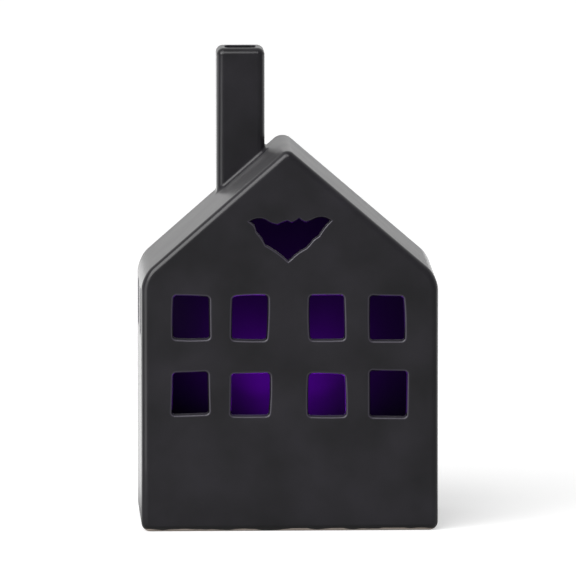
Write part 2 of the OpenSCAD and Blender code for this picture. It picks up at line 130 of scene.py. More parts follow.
class HouseSizes(bpy.types.PropertyGroup):
    """Sizes of the cast shell."""

    eave_height: length("Eave height", "Height at which wall and roof planes would meet", 107)
    ridge_height: length("Ridge height", "Height of the sharp ridge line", 161)
    wall: length("Wall", "Thickness of the walls and the roof", 4)
    eave_radius: length("Eave radius", "Soft bend between wall and roof", 13)
    ridge_radius: length("Ridge radius", "Round of the ridge at the back", 5.4)
    front_ridge: length("Front ridge", "Round of the ridge at the front", 3.2)
    gable_lean: length("Gable lean", "How far the fired gable leans to the left", 0.9)
    left_rise: length("Left rise", "How much higher the left eave came out", 0.45)
    base_radius: length("Base radius", "Lower corners of the front", 3.6)
    edge_radius: length("Edge radius", "Round of the front and back edges", 3)
    inside_radius: length("Inside radius", "Round of the inside corners", 6)
    window_width: length("Window width", "Width of a front window", 15.4)
    window_height: length("Window height", "Height of a window", 18.8)
    window_radius: length("Window radius", "Corner radius of a window", 1.2)
    window_lip: length("Window lip", "Softened edge of a window", 1.25)
    glaze_turn: length("Glaze turn", "How far the glaze reaches into an opening", 0.4)
    bat_lip: length("Bat lip", "Softened edge of the bat opening", 0.72)
    column_inner: length("Inner column", "Inner windows from the middle", 16.1)
    column_gap: length("Column gap", "From an inner to an outer window", 25.3)
    row_high: length("Upper row", "Height of the upper windows", 90.5)
    row_low: length("Lower row", "Height of the lower windows", 58.3)
    side_window_width: length("Side window width", "Width of a side window", 14)
    side_window_place: length("Side window place", "Side windows from the middle", 14.4)
    hand_cut: length("Hand cut", "How far a window's corner strays", 0.4)
    bat_place: length("Bat place", "Height of the bat's middle", 123.6)
    chimney_width: length("Chimney width", "Seen from the front", 20.2)
    chimney_depth: length("Chimney depth", "From its front to its back", 17.5)
    chimney_left: length("Chimney place", "Its middle to the left of the middle", 18.9)
    chimney_back: length("Chimney back", "From the back wall's face to its back", 2.5)
    chimney_wall: length("Chimney wall", "Thickness round the flue", 3.7)
    chimney_radius: length("Chimney radius", "Upright corners of the chimney", 3.2)
    chimney_rim: length("Chimney rim", "Round over the chimney's top edge", 2.9)
    chimney_fillet: length("Chimney fillet", "Width of the glaze fillet where it meets the roof", 2.6)
    foot_width: length("Foot width", "Width of the foot ring", 7)
    foot_height: length("Foot height", "Depth of the recess under the floor", 3.5)
    floor: length("Floor", "Thickness of the floor", 4.5)
    hole_gap: length("Hole gap", "Gap round the battery box", 0.6)
    flange: length("Flange", "Overhang of the box's flange", 3.5)


class HouseColours(bpy.types.PropertyGroup):
    """Colours of the finishes."""

    glaze: tint("Glaze", "Satin black glaze", "#131216")
    glaze_light: tint("Light glaze", "Where the glaze lies thinner", "#1f1d23")
    # Partly thin glaze and partly painted highlight on lips and the chimney rim; the purple tint is painted
    # lamp light.
    edge_glaze_and_highlight: tint("Glaze at edges", "Where the glaze breaks over a cut edge", "#484450")
    # Painted shade for the band just above the foot.
    painted_foot_shade: tint("Pooled glaze", "Where the glaze gathers along the foot", "#080809")
    wash: tint("Inside wash", "Matt black wash inside", "#0c0b0f")
    clay: tint("Clay", "Bare fired clay of the foot", "#9c9188")
    box: tint("Box", "Moulded battery box", "#18181a")
    knob: tint("Knob", "Switch knob", "#d6d4cc")
    nickel: tint("Nickel", "Plated contacts and springs", "#c9c4b6")
    zinc: tint("Zinc", "Plated screws and switch case", "#b3b5b8")
    tin: tint("Tin", "Tinned leads and solder", "#cfcfcb")
    sleeve: tint("Sleeve", "Battery sleeve", "#28486b")
    silicone: tint("Silicone", "Bead under the floor", "#cfcec6")
    board: tint("Board", "Solder mask of the lamp board", "#1f5b39")
    lamp: tint("Lamp", "Purple lamp", "#7a2fd0")
    resistor: tint("Resistor", "Resistor's lacquer", "#c8ae7e")
    red: tint("Red wire", "Red wire", "#a81d26")
    yellow: tint("Yellow wire", "Yellow wire", "#d2a62f")
    black: tint("Black wire", "Black wire", "#161618")


class StageSettings(bpy.types.PropertyGroup):
    """Camera and light."""

    azimuth: angle("Azimuth", "Camera's turn to the left", 2.1)
    elevation: angle("Elevation", "Camera's height angle", 7.5)
    distance: length("Distance", "From the camera to its aim", 5000)
    aim_height: length("Aim height", "Height of the camera's aim", 98.15)
    aim_side: length("Aim side", "Aim to the right of the middle", 0.42)
    lens: bpy.props.FloatProperty(name="Lens", description="Focal length in millimetres", default=744.5)
    lamp_power: bpy.props.FloatProperty(
        name="Lamp power", description="Light inside the house, watts", default=0.88)


def add_node(tree, kind, inputs=None, stops=(), **settings):
    """Adds a shader node, sets its attributes and colour stops, and fills or links its inputs.

    An input takes a value, an output socket, or a node, which stands for its first output.
    """
    made = tree.nodes.new("ShaderNode" + kind)
    for name, value in settings.items():
        setattr(made, name, value)
    for number, (position, colour) in enumerate(stops):
        elements = made.color_ramp.elements
        stop = elements[number] if number < len(elements) else elements.new(position)
        stop.position = position
        stop.color = colour
    for socket, value in (inputs or {}).items():
        if isinstance(value, bpy.types.Node):
            value = value.outputs[0]
        if isinstance(value, bpy.types.NodeSocket):
            tree.links.new(value, made.inputs[socket])
        else:
            made.inputs[socket].default_value = value
    return made


def new_material(name):
    """Empty node material, the call that adds nodes to it, and its object coordinates."""
    material = bpy.data.materials.new(name)
    material.use_nodes = True
    material.node_tree.nodes.clear()
    add = functools.partial(add_node, material.node_tree)
    return material, add, add("TexCoord").outputs["Object"]


def per_mm(millimetres):
    """Texture scale at which one feature is that many millimetres across."""
    return 1 / (millimetres * MM)


def darkened(colour, share):
    """Colour with its light reduced to a share."""
    return [c * share for c in colour[:3]] + [1.0]


def grained(add, tone, tones, grain, gloss, relief, **inputs):
    """Adds a surface whose colour follows one pattern, and its gloss and relief another."""
    colour = add("ValToRGB", {"Fac": tone}, tones)
    rough = add("MapRange", {"Value": grain, "To Min": gloss[0], "To Max": gloss[1]})
    bump = add("Bump", {"Height": grain, "Strength": relief[0], "Distance": relief[1]})
    shader = add("BsdfPrincipled", {"Base Color": colour, "Roughness": rough, "Normal": bump, **inputs})
    add("OutputMaterial", {"Surface": shader})


def black_glaze(colours):
    """Satin black glaze on slip-cast clay: broad soft gloss, slow ripple, a lighter grey on cut edges that is
    partly thin glaze and partly painted highlight, and painted shade just above the foot.
    """
    material, add, place = new_material("Satin black glaze on slip-cast earthenware")
    # The glaze pools and thins over a few centimetres, so the black is never quite even.
    pool = add("TexNoise", {"Vector": place, "Scale": per_mm(26), "Detail": 4.0})
    shade = add("ValToRGB", {"Fac": pool}, ((0.35, colours.glaze), (0.68, colours.glaze_light)))
    # Where it runs off the cut edges of the openings it leaves a thin grey line; that grey is also a painted
    # highlight, lighter on lips that face up, and its purple tint is painted lamp light.
    edge = add("Attribute", attribute_name="thin_glaze_and_highlight").outputs["Fac"]
    broken_and_lit = add("Mix", {"Factor": edge, 6: shade, 7: colours.edge_glaze_and_highlight}, data_type="RGBA").outputs[2]
    # Painted shade: a near-black band just above the foot, where the rounded foot edge faces the shaded
    # floor.
    height = add("SeparateXYZ", {"Vector": place}).outputs["Z"]
    above_foot_shade = add("MapRange", {"Value": height, "From Min": 1.4 * MM, "From Max": 3 * MM})
    foot_shaded = add("Mix", {"Factor": above_foot_shade, 6: colours.painted_foot_shade, 7: broken_and_lit}, data_type="RGBA").outputs[2]
    # The foot is wiped before firing: an uneven line of bare clay about a millimetre high.
    wipe = add("TexNoise", {"Vector": place, "Scale": per_mm(16), "Detail": 2.0})
    line = add("MapRange", {
        "Value": wipe, "From Min": 0.35, "From Max": 0.55, "To Min": 0.2 * MM, "To Max": 1.2 * MM})
    bare = add("Math", {0: height, 1: line}, operation="LESS_THAN")
    colour = add("Mix", {"Factor": bare, 6: foot_shaded, 7: colours.clay}, data_type="RGBA").outputs[2]
    gloss = add("MapRange", {"Value": pool, "From Min": 0.3, "From Max": 0.7, "To Min": 0.4, "To Max": 0.5})
    rough = add("Mix", {"Factor": bare, "A": gloss, "B": 0.85})
    skin = add("MapRange", {"Value": bare, "To Min": 0.65, "To Max": 0.0})
    # Casting ripple over centimetres and a fine orange peel, drawn coarse enough to show.
    ripple = add("TexNoise", {"Vector": place, "Scale": per_mm(18), "Detail": 1.0})
    peel = add("TexNoise", {"Vector": place, "Scale": per_mm(1.1), "Detail": 2.0})
    soft = add("Bump", {"Height": ripple, "Strength": 0.5, "Distance": 0.3 * MM})
    fine = add("Bump", {"Height": peel, "Strength": 0.5, "Distance": 0.02 * MM, "Normal": soft})
    shader = add("BsdfPrincipled", {
        "Base Color": colour, "Roughness": rough, "IOR": 1.4, "Specular IOR Level": 0.3, "Sheen Weight": 0.12,
        "Sheen Roughness": 0.4, "Coat Weight": skin, "Coat Roughness": 0.14, "Coat IOR": 1.5, "Normal": fine,
        "Coat Normal": soft})
    add("OutputMaterial", {"Surface": shader})
    return material


def inside_wash(colours):
    """Black wash poured into the casting: dead matt and streaked, so the lamp's light stays deep."""
    material, add, place = new_material("Matt black wash on cast earthenware")
    stretch = add("Mapping", {"Vector": place, "Scale": (1.0, 1.0, 0.35)})
    streak = add("TexNoise", {"Vector": stretch, "Scale": per_mm(9), "Detail": 3.0})
    shade = add("ValToRGB", {"Fac": streak}, ((0.3, linear("#09080b")), (0.7, colours.wash)))
    grain = add("TexNoise", {"Vector": place, "Scale": per_mm(1.5), "Detail": 3.0})
    bump = add("Bump", {"Height": grain, "Strength": 0.4, "Distance": 0.1 * MM})
    shader = add("BsdfPrincipled", {
        "Base Color": shade, "Roughness": 0.75, "Specular IOR Level": 0.15, "Normal": bump})
    add("OutputMaterial", {"Surface": shader})
    return material


def moulded_plastic(name, colour, grain, roughness):
    """Injection-moulded plastic: even colour, a fine spark-eroded grain and faint flow shades."""
    material, add, place = new_material(name)
    flow = add("TexNoise", {"Vector": place, "Scale": per_mm(12), "Detail": 2.0})
    lighter = [min(1.0, c * 1.35 + 0.002) for c in colour[:3]] + [1.0]
    pits = add("TexNoise", {"Vector": place, "Scale": per_mm(grain), "Detail": 3.0})
    gloss = (roughness - 0.08, roughness + 0.08)
    grained(add, flow, ((0.35, colour), (0.75, lighter)), pits, gloss, (0.5, 0.05 * MM), IOR=1.53)
    return material


def plated_metal(name, colour, roughness, grain):
    """Plated metal: bright, with fine rolling or drawing lines and slightly dull patches."""
    material, add, place = new_material(name)
    lines = add("Mapping", {"Vector": place, "Scale": (1.0, 8.0, 1.0)})
    drawn = add("TexNoise", {"Vector": lines, "Scale": per_mm(grain), "Detail": 3.0})
    dull = add("TexNoise", {"Vector": place, "Scale": per_mm(3), "Detail": 2.0})
    tones = ((0.3, darkened(colour, 0.72)), (0.65, colour))
    grained(add, dull, tones, drawn, (roughness - 0.08, roughness + 0.12), (0.25, 0.02 * MM), Metallic=1.0)
    return material


def battery_sleeve(colours):
    """Heat-shrunk sleeve: glossy film in plain blue with a pale ring near the button."""
    blue, pale, dark = colours.sleeve, linear("#c9c6bc"), linear("#1b2c40")
    material, add, place = new_material("Heat-shrunk film over a battery can")
    along = add("Attribute", attribute_name="along").outputs["Fac"]
    tones = ((0.0, blue), (0.77, blue), (0.78, pale), (0.84, pale), (0.85, dark))
    film = add("TexNoise", {"Vector": place, "Scale": per_mm(4), "Detail": 2.0})
    coat = {"Coat Weight": 0.3, "Coat Roughness": 0.1}
    grained(add, along, tones, film, (0.2, 0.34), (0.3, 0.05 * MM), IOR=1.54, **coat)
    return material


def cured_silicone(colours):
    """Silicone pressed from a tube: milky, soft gloss, wavy where it was wiped."""
    material, add, place = new_material("Cured silicone bead")
    wipe = add("TexNoise", {"Vector": place, "Scale": per_mm(4), "Detail": 2.0})
    shade = add("ValToRGB", {"Fac": wipe}, ((0.3, linear("#b4b2a8")), (0.7, colours.silicone)))
    bump = add("Bump", {"Height": wipe, "Strength": 0.6, "Distance": 0.2 * MM})
    shader = add("BsdfPrincipled", {
        "Base Color": shade, "Roughness": 0.42, "IOR": 1.41, "Subsurface Weight": 0.3,
        "Subsurface Radius": (1 * MM, 1 * MM, 1 * MM), "Normal": bump})
    add("OutputMaterial", {"Surface": shader})
    return material


def board_laminate(colours):
    """Glass-fibre laminate under green solder mask: a faint weave shows through the glossy mask."""
    material, add, place = new_material("Glass-fibre laminate under solder mask")
    # Glass cloth has about 1.7 threads a millimetre; it is drawn at 0.9 mm so that it shows.
    weave = add("TexChecker", {"Vector": place, "Scale": per_mm(0.9)}).outputs["Fac"]
    haze = add("TexNoise", {"Vector": place, "Scale": per_mm(5), "Detail": 2.0})
    mixed = add("Math", {0: weave, 1: haze}, operation="MULTIPLY")
    shade = add("ValToRGB", {"Fac": mixed}, ((0.0, colours.board), (1.0, linear("#2d7a4e"))))
    bump = add("Bump", {"Height": weave, "Strength": 0.15, "Distance": 0.02 * MM})
    shader = add("BsdfPrincipled", {"Base Color": shade, "Roughness": 0.32, "IOR": 1.55, "Normal": bump})
    add("OutputMaterial", {"Surface": shader})
    return material


def lamp_epoxy(colours):
    """Diffused purple epoxy, cast and lit from within: brightest over the chip, deeper at the rim."""
    material, add, place = new_material("Cast diffused epoxy of a lit lamp")
    height = add("SeparateXYZ", {"Vector": place}).outputs["Z"]
    level = add("MapRange", {"Value": height, "From Min": LAMP_LOW[2], "From Max": LAMP_HIGH[2]})
    cloud = add("TexNoise", {"Vector": place, "Scale": per_mm(1.5), "Detail": 2.0})
    body = add("ValToRGB", {"Fac": cloud}, ((0.3, colours.lamp), (0.7, linear("#9254e6"))))
    light = ((0.0, linear("#3a0a80")), (0.55, linear("#b45cff")), (1.0, linear("#7a1cff")))
    glow = add("ValToRGB", {"Fac": level}, light)
    shader = add("BsdfPrincipled", {
        "Base Color": body, "Roughness": 0.18, "IOR": 1.53, "Emission Color": glow, "Emission Strength": 1.2})
    add("OutputMaterial", {"Surface": shader})
    return material


def wire_skin(name, colour):
    """Extruded PVC skin: soft gloss with faint draw marks and rubbed spots."""
    material, add, place = new_material(name)
    rub = add("TexNoise", {"Vector": place, "Scale": per_mm(1.6), "Detail": 3.0})
    tones = ((0.3, darkened(colour, 0.7)), (0.6, colour))
    grained(add, rub, tones, rub, (0.3, 0.5), (0.2, 0.03 * MM), IOR=1.53)
    return material


def resistor_lacquer(colours):
    """Dipped lacquer with painted value rings, and tinned legs beyond its ends."""
    material, add, place = new_material("Dipped lacquer with painted rings")
    low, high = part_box("resistor")
    across = add("SeparateXYZ", {"Vector": place}).outputs["X"]
    along = add("MapRange", {"Value": across, "From Min": low[0], "From Max": high[0]})
    tin, tan = colours.tin, colours.resistor
    rings = add("ValToRGB", {"Fac": along}, (
        (0.0, tin), (0.19, tan), (0.28, linear("#1d4fa0")), (0.35, tan), (0.43, linear("#7d7f82")),
        (0.5, tan), (0.57, linear("#15130f")), (0.64, tan), (0.71, linear("#b08a3a")), (0.77, tan),
        (0.81, tin)))
    rings.color_ramp.interpolation = "CONSTANT"
    dip = add("TexNoise", {"Vector": place, "Scale": per_mm(1.2), "Detail": 2.0})
    rough = add("MapRange", {"Value": dip, "To Min": 0.3, "To Max": 0.45})
    shader = add("BsdfPrincipled", {"Base Color": rings, "Roughness": rough, "IOR": 1.5})
    add("OutputMaterial", {"Surface": shader})
    return material


def bevel(bm, edges, offset, segments, clamp=False, offset_type="OFFSET"):
    """Rounds edges by an offset."""
    return bmesh.ops.bevel(
        bm, geom=edges, offset=offset, offset_type=offset_type, affect="EDGES", segments=segments,
        profile=0.5, material=-1, clamp_overlap=clamp)


def round_edges(bm, edges, radius, segments):
    """Rounds edges to a radius. The bevel's offset follows from the angle between the faces."""
    bevel(bm, edges, radius * math.tan(max(edge.calc_face_angle() for edge in edges) / 2), segments)


def is_hard(edge, degrees):
    """True where two faces meet and turn by more than an angle."""
    return len(edge.link_faces) == 2 and edge.calc_face_angle() > math.radians(degrees)


def edges_along(bm, axis, test=lambda p: True):
    """Straight edges along an axis whose midpoint passes the test."""
    found = []
    for edge in bm.edges:
        start, end = (vert.co for vert in edge.verts)
        if abs(end[axis] - start[axis]) > 0.999 * (end - start).length and test((start + end) / 2):
            found.append(edge)
    return found


def edges_on(bm, axis, level):
    """Hard edges that lie in the plane at a level along an axis."""
    return [
        edge for edge in bm.edges
        if all(abs(vert.co[axis] - level) < 2 * WELD for vert in edge.verts) and is_hard(edge, 60)]


def pushed_outline(corners, push):
    """Solid made by pushing a flat outline along a vector."""
    bm = bmesh.new()
    face = bm.faces.new([bm.verts.new(corner) for corner in corners])
    far = bmesh.ops.extrude_face_region(bm, geom=[face])["geom"]
    bmesh.ops.translate(bm, verts=[g for g in far if isinstance(g, bmesh.types.BMVert)], vec=push)
    bmesh.ops.recalc_face_normals(bm, faces=bm.faces)
    return bm


def gable_solid(half_w, half_d, floor_z, eave_z, ridge_z, radii, rim, sharpen=1):
    """Gabled block: a pushed outline, its long edges rounded, the ridge sharper in front, then both ends."""
    corners = [(-half_w, floor_z), (half_w, floor_z), (half_w, eave_z), (0, ridge_z), (-half_w, eave_z)]
    bm = pushed_outline([(x, -half_d, z) for x, z in corners], (0, 2 * half_d, 0))
    eave_r, ridge_r, base_r = radii
    near = 10 * WELD
    round_edges(bm, edges_along(bm, 1, lambda p: abs(p.z - eave_z) < near), eave_r, 14)
    round_edges(bm, edges_along(bm, 1, lambda p: abs(p.z - ridge_z) < near), ridge_r, 14)
    front_arc = [vert for vert in bm.verts if vert.co.y < 0 and vert.co.z > ridge_z - ridge_r]
    bmesh.ops.scale(
        bm, verts=front_arc, vec=(sharpen, 1, sharpen), space=Matrix.Translation((0, 0, -ridge_z)))
    base = edges_along(bm, 1, lambda p: abs(p.z - floor_z) < near and abs(p.x) > half_w - near)
    round_edges(bm, base, base_r, 8)
    round_edges(bm, edges_on(bm, 1, -half_d) + edges_on(bm, 1, half_d), rim, 8)
    return bm


def round_block(centre, size, radius, low, high):
    """Upright block with rounded corners between two heights."""
    corners = [
        (centre[0] + sx * size[0] / 2, centre[1] + sy * size[1] / 2, low)
        for sx, sy in ((-1, -1), (1, -1), (1, 1), (-1, 1))]
    bm = pushed_outline(corners, (0, 0, high - low))
    round_edges(bm, edges_along(bm, 2), radius, 6)
    return bm


def loose_object(name, bm):
    """Puts a bmesh in the scene as an object at the origin."""
    mesh = bpy.data.meshes.new(name)
    bm.to_mesh(mesh)
    bm.free()
    made = bpy.data.objects.new(name, mesh)
    bpy.context.scene.collection.objects.link(made)
    return made


def weld(bm):
    """Joins points that fall together and drops the slivers that this leaves."""
    bmesh.ops.remove_doubles(bm, verts=bm.verts, dist=WELD)
    bmesh.ops.dissolve_degenerate(bm, edges=bm.edges, dist=SLIVER)


def carved(base, steps):
    """Result of booleans on a base bmesh; steps are pairs of an operation and a tool bmesh."""
    work = loose_object("carved", base)
    tools = []
    for operation, tool_mesh in steps:
        tools.append(loose_object("tool", tool_mesh))
        modifier = work.modifiers.new("cut", "BOOLEAN")
        modifier.operation = operation
        modifier.object = tools[-1]
        modifier.solver = "EXACT"
    graph = bpy.context.evaluated_depsgraph_get()
    mesh = bpy.data.meshes.new_from_object(work.evaluated_get(graph))
    bm = bmesh.new()
    bm.from_mesh(mesh)
    bpy.data.meshes.remove(mesh)
    for spare in [work] + tools:
        spare_mesh = spare.data
        bpy.data.objects.remove(spare)
        bpy.data.meshes.remove(spare_mesh)
    weld(bm)
    return bm


def cut_block(size, matrix):
    """Step that cuts a block of a size, placed by a matrix, out of a solid."""
    bm = bmesh.new()
    bmesh.ops.create_cube(bm, size=1, matrix=matrix @ Matrix.Diagonal((*size, 1)))
    return "DIFFERENCE", bm


def cut_outline(corners):
    """Outline through corners of across, up, sag and steps; each curve bulges to its left by the sag."""
    points = []
    start = Vector(corners[-1][:2])
    for across, up, sag, steps in corners:
        way = Vector((across, up)) - start
        left = Vector((-way.y, way.x)).normalized()
        for step in range(1, steps + 1):
            t = step / steps
            points.append(start + way * t + left * 4 * sag * t * (1 - t))
        start = Vector((across, up))
    return points


def window_tool(chance, centre, size, radius, stray, place, push):
    """Cutter of one hand-cut window: strayed corners and slightly bowed sides, pushed through the wall."""
    corners = []
    for sx, sz in ((-1, -1), (-1, 1), (1, 1), (1, -1)):
        across, up = (chance.uniform(-stray, stray) for _ in range(2))
        bow = chance.uniform(-0.2, 0.8) * stray
        corners.append((centre[0] + sx * size[0] / 2 + across, centre[1] + sz * size[1] / 2 + up, bow, 5))
    bm = pushed_outline([place(*point) for point in cut_outline(corners)], push)
    along = max(range(3), key=lambda i: abs(push[i]))
    bevel(bm, [edge for edge in edges_along(bm, along) if is_hard(edge, 45)], radius, 6)
    return bm


def joined(parts):
    """One bmesh from several."""
    whole = bmesh.new()
    for part in parts:
        mesh = bpy.data.meshes.new("part")
        part.to_mesh(mesh)
        part.free()
        whole.from_mesh(mesh)
        bpy.data.meshes.remove(mesh)
    return whole


def cad_copy(node):
    """Copy of a CAD node's triangles, welded."""
    bm = bmesh.new()
    bm.from_mesh(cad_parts[node].data)
    bmesh.ops.remove_doubles(bm, verts=bm.verts, dist=WELD)
    return bm


def merged_copy(node):
    """Copy of a CAD node, freed of edges between faces in one plane."""
    bm = cad_copy(node)
    bmesh.ops.dissolve_limit(bm, angle_limit=math.radians(0.5), verts=bm.verts, edges=bm.edges)
    return bm


def soften(bm, width, segments=2):
    """Breaks every hard edge, as a mould or a press does."""
    bevel(bm, [edge for edge in bm.edges if is_hard(edge, 35)], width, segments, clamp=True)
    return bm


def turned(profile, axis, steps=48):
    """Solid of revolution about an axis from points of distance along it and radius."""
    side = (axis + 1) % 3
    bm = bmesh.new()
    chain = []
    for along, radius in profile:
        point = [0.0, 0.0, 0.0]
        point[axis] = along
        point[side] = radius
        chain.append(bm.verts.new(point))
    edges = [bm.edges.new(pair) for pair in zip(chain, chain[1:])]
    direction = [float(i == axis) for i in range(3)]
    bmesh.ops.spin(
        bm, geom=chain + edges, cent=(0, 0, 0), axis=direction, dvec=(0, 0, 0), angle=2 * math.pi,
        steps=steps, use_merge=True)
    weld(bm)
    bmesh.ops.recalc_face_normals(bm, faces=bm.faces)
    return bm


def turn_and_move(bm, turn, axis, way):
    """Turns a bmesh about an axis through the origin, then moves it."""
    bmesh.ops.rotate(bm, verts=bm.verts, cent=(0, 0, 0), matrix=Matrix.Rotation(turn, 3, axis))
    bmesh.ops.translate(bm, verts=bm.verts, vec=way)


def middle(node):
    """Middle of a node's box."""
    low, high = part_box(node)
    return [(a + b) / 2 for a, b in zip(low, high)]


def stand_in(piece, materials, node, body="house"):
    """Gives a piece its materials and lets it stand for a CAD node."""
    for material in materials:
        piece.data.materials.append(material)
    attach(piece, body)
    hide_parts(node)


def finished_piece(bm, materials, node, body="house", name=None):
    """Turns a bmesh into a smooth piece, named after the CAD node that it stands for."""
    for face in bm.faces:
        face.smooth = True
    for edge in bm.edges:
        edge.smooth = len(edge.link_faces) == 2 and edge.calc_face_angle() < math.radians(40)
    piece = loose_object(name or node.capitalize(), bm)
    even = piece.modifiers.new("Even shading", "WEIGHTED_NORMAL")
    even.keep_sharp = True
    even.weight = 100
    stand_in(piece, materials, node, body)


def softened_piece(node, width, material, body="house", segments=2):
    """CAD node as a smooth piece with softened edges."""
    finished_piece(soften(merged_copy(node), width, segments), [material], node, body)


def smooth_tube(node, material):
    """Wire-like CAD node as a smooth tube."""
    bm = cad_copy(node)
    bmesh.ops.join_triangles(
        bm, faces=bm.faces, angle_face_threshold=math.radians(40), angle_shape_threshold=math.radians(60))
    for face in bm.faces:
        face.smooth = True
    piece = loose_object(node.capitalize(), bm)
    finer = piece.modifiers.new("Finer", "SUBSURF")
    finer.levels = finer.render_levels = 1
    stand_in(piece, [material], node)


def screws(node, up, material):
    """Two pan-head screws with cross recesses where a CAD node has its screws."""
    low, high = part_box(node)
    long = high[2] - low[2]
    spread = max(range(2), key=lambda i: high[i] - low[i])
    head = (high[1 - spread] - low[1 - spread]) / 2
    profile = [
        (0, 0), (0.02 * MM, 0.5 * head), (0.14 * MM, 0.78 * head), (0.4 * MM, 0.96 * head), (0.65 * MM, head),
        (0.9 * MM, head), (1 * MM, 0.95 * head), (1 * MM, 0.56 * head), (long - 1 * MM, 0.55 * head),
        (long - 0.1 * MM, 0.12 * head), (long, 0)]
    recess = (1.15 * head, 0.24 * head, 1 * MM)
    parts = []
    for end in (-1, 1):
        bm = carved(turned(profile, 2, 32), [
            cut_block(recess, Matrix.Rotation(turn, 4, "Z")) for turn in (0, math.pi / 2)])
        if up < 0:
            turn_and_move(bm, math.pi, "X", (0, 0, 0))
        place = middle(node)
        place[spread] = (high[spread] - head) if end > 0 else (low[spread] + head)
        place[2] = low[2] if up > 0 else high[2]
        turn_and_move(bm, 0.5 * end + 0.3, "Z", place)
        parts.append(bm)
    finished_piece(joined(parts), [material], node)


class HOUSE_OT_shell(bpy.types.Operator):
    """Builds the cast shell: walls, roof, chimney, floor, windows and the bat opening."""

    bl_idname = "halloween_house.shell"
    bl_label = "Cast shell"

    def execute(self, context):
        s = context.scene.house_sizes
        bm = self.cast(s)
        # Lighter grey on the lips: partly thin glaze, partly painted highlight.
        thin_and_lit = bm.verts.layers.float.new("thin_glaze_and_highlight")
        for axis, level in ((1, -HALF_D), (0, HALF_W), (0, -HALF_W)):
            lips = edges_on(bm, axis, level)
            bat = [edge for edge in lips if edge.verts[0].co.z > s.eave_height]
            windows = [edge for edge in lips if edge.verts[0].co.z < s.eave_height]
            if bat:
                self.break_edges(bm, bat, s.bat_lip, thin_and_lit, axis, clamp=False, thinnest_and_lightest=BAT_THIN_AND_LIT)
            self.break_edges(bm, windows, s.window_lip, thin_and_lit, axis)
        foot = [edge for edge in bm.edges if self.at_chimney_foot(edge, s)]
        bevel(bm, foot, s.chimney_fillet, 5, offset_type="WIDTH")
        self.break_edges(bm, edges_on(bm, 2, HOUSE_TOP), FLUE_LIP, thin_and_lit, 2)
        self.break_edges(bm, edges_on(bm, 2, 0), FOOT_LIP)
        for face in bm.faces:
            if self.is_washed(face, s):
                face.material_index = 1
        colours = context.scene.house_colours
        finishes = (black_glaze(colours), inside_wash(colours))
        finished_piece(bm, finishes, "house_shell", name="House")
        return {"FINISHED"}

    def roof(self, s):
        """Angle of the roof, and its thickness measured straight down."""
        slope = math.atan2(s.ridge_height - s.eave_height, HALF_W)
        return slope, s.wall / math.cos(slope)

    def chimney(self, s):
        """Middle and size of the chimney, seen from above."""
        place = (-s.chimney_left, HALF_D - s.chimney_back - s.chimney_depth / 2)
        return place, (s.chimney_width, s.chimney_depth)

    def cast(self, s):
        """Gabled body with its chimney, hollowed out and cut open."""
        slope, drop = self.roof(s)
        floor_top = s.foot_height + s.floor
        body = gable_solid(
            HALF_W, HALF_D, 0, s.eave_height, s.ridge_height, (s.eave_radius, s.ridge_radius, s.base_radius),
            s.edge_radius, s.front_ridge / s.ridge_radius)
        soft = s.inside_radius + RIDGE_EXTRA
        room = gable_solid(
            HALF_W - s.wall, HALF_D - s.wall, floor_top, s.eave_height + s.wall * math.tan(slope) - drop,
            s.ridge_height - drop, (s.eave_radius - s.wall, soft, soft), s.inside_radius)
        for solid in (body, room):
            self.settle(solid, s)
        place, size = self.chimney(s)
        stack = round_block(place, size, s.chimney_radius, s.eave_height, HOUSE_TOP)
        round_edges(stack, edges_on(stack, 2, HOUSE_TOP), s.chimney_rim, 8)
        bore = [side - 2 * s.chimney_wall for side in size]
        flue = round_block(place, bore, FLUE_CORNER, s.eave_height, HOUSE_TOP + PAST)
        recess = round_block(
            (0, 0), (2 * (HALF_W - s.foot_width), 2 * (HALF_D - s.foot_width)), s.foot_width - s.edge_radius,
            -PAST, s.foot_height)
        hole = round_block(
            (0, 0), [2 * (half - s.flange + s.hole_gap) for half in BOX_HIGH[:2]], HOLE_CORNER, 0,
            floor_top + s.inside_radius)
        return carved(body, [
            ("UNION", stack), ("DIFFERENCE", room), ("DIFFERENCE", flue),
            ("DIFFERENCE", joined(self.opening_tools(s))), ("DIFFERENCE", recess), ("DIFFERENCE", hole)])

    def settle(self, bm, s):
        """Lets the gable lean a little and its left eave stand a little higher, as fired clay does."""
        for vert in bm.verts:
            up = max(0, (vert.co.z - s.eave_height) / (s.ridge_height - s.eave_height))
            near_eave = min(1, max(0, (vert.co.z - s.eave_height) / s.eave_radius + 1))
            vert.co.z += s.left_rise * near_eave * max(0, -vert.co.x / HALF_W)
            vert.co.x -= s.gable_lean * up

    def opening_tools(self, s):
        """Cutters of all windows and of the bat."""
        chance = random.Random(CUT_SEED)
        reach = s.wall + 4 * MM
        front = -HALF_D - PAST
        tools = []
        outer = s.column_inner + s.column_gap
        columns = (-outer, -s.column_inner, s.column_inner, outer)
        places = [(x, z) for z in (s.row_low, s.row_high) for x in columns]
        for (x, z), strays in zip(places, WINDOW_STRAYS):
            across, up, wider, taller = (stray * MM for stray in strays)
            tools.append(window_tool(
                chance, (x + across, z + up), (s.window_width + wider, s.window_height + taller),
                s.window_radius, s.hand_cut, lambda a, b: (a, front, b), (0, reach, 0)))
        for side in (-1, 1):
            for place in (-s.side_window_place, s.side_window_place):
                tools.append(window_tool(
                    chance, (place, s.row_high), (s.side_window_width, s.window_height), s.window_radius,
                    s.hand_cut, lambda a, b: (side * (HALF_W + PAST), a, b), (-side * reach, 0, 0)))
        bat = [(p.x * MM, front, s.bat_place + p.y * MM) for p in cut_outline(BAT_CORNERS)]
        tools.append(pushed_outline(bat, (0, reach, 0)))
        return tools

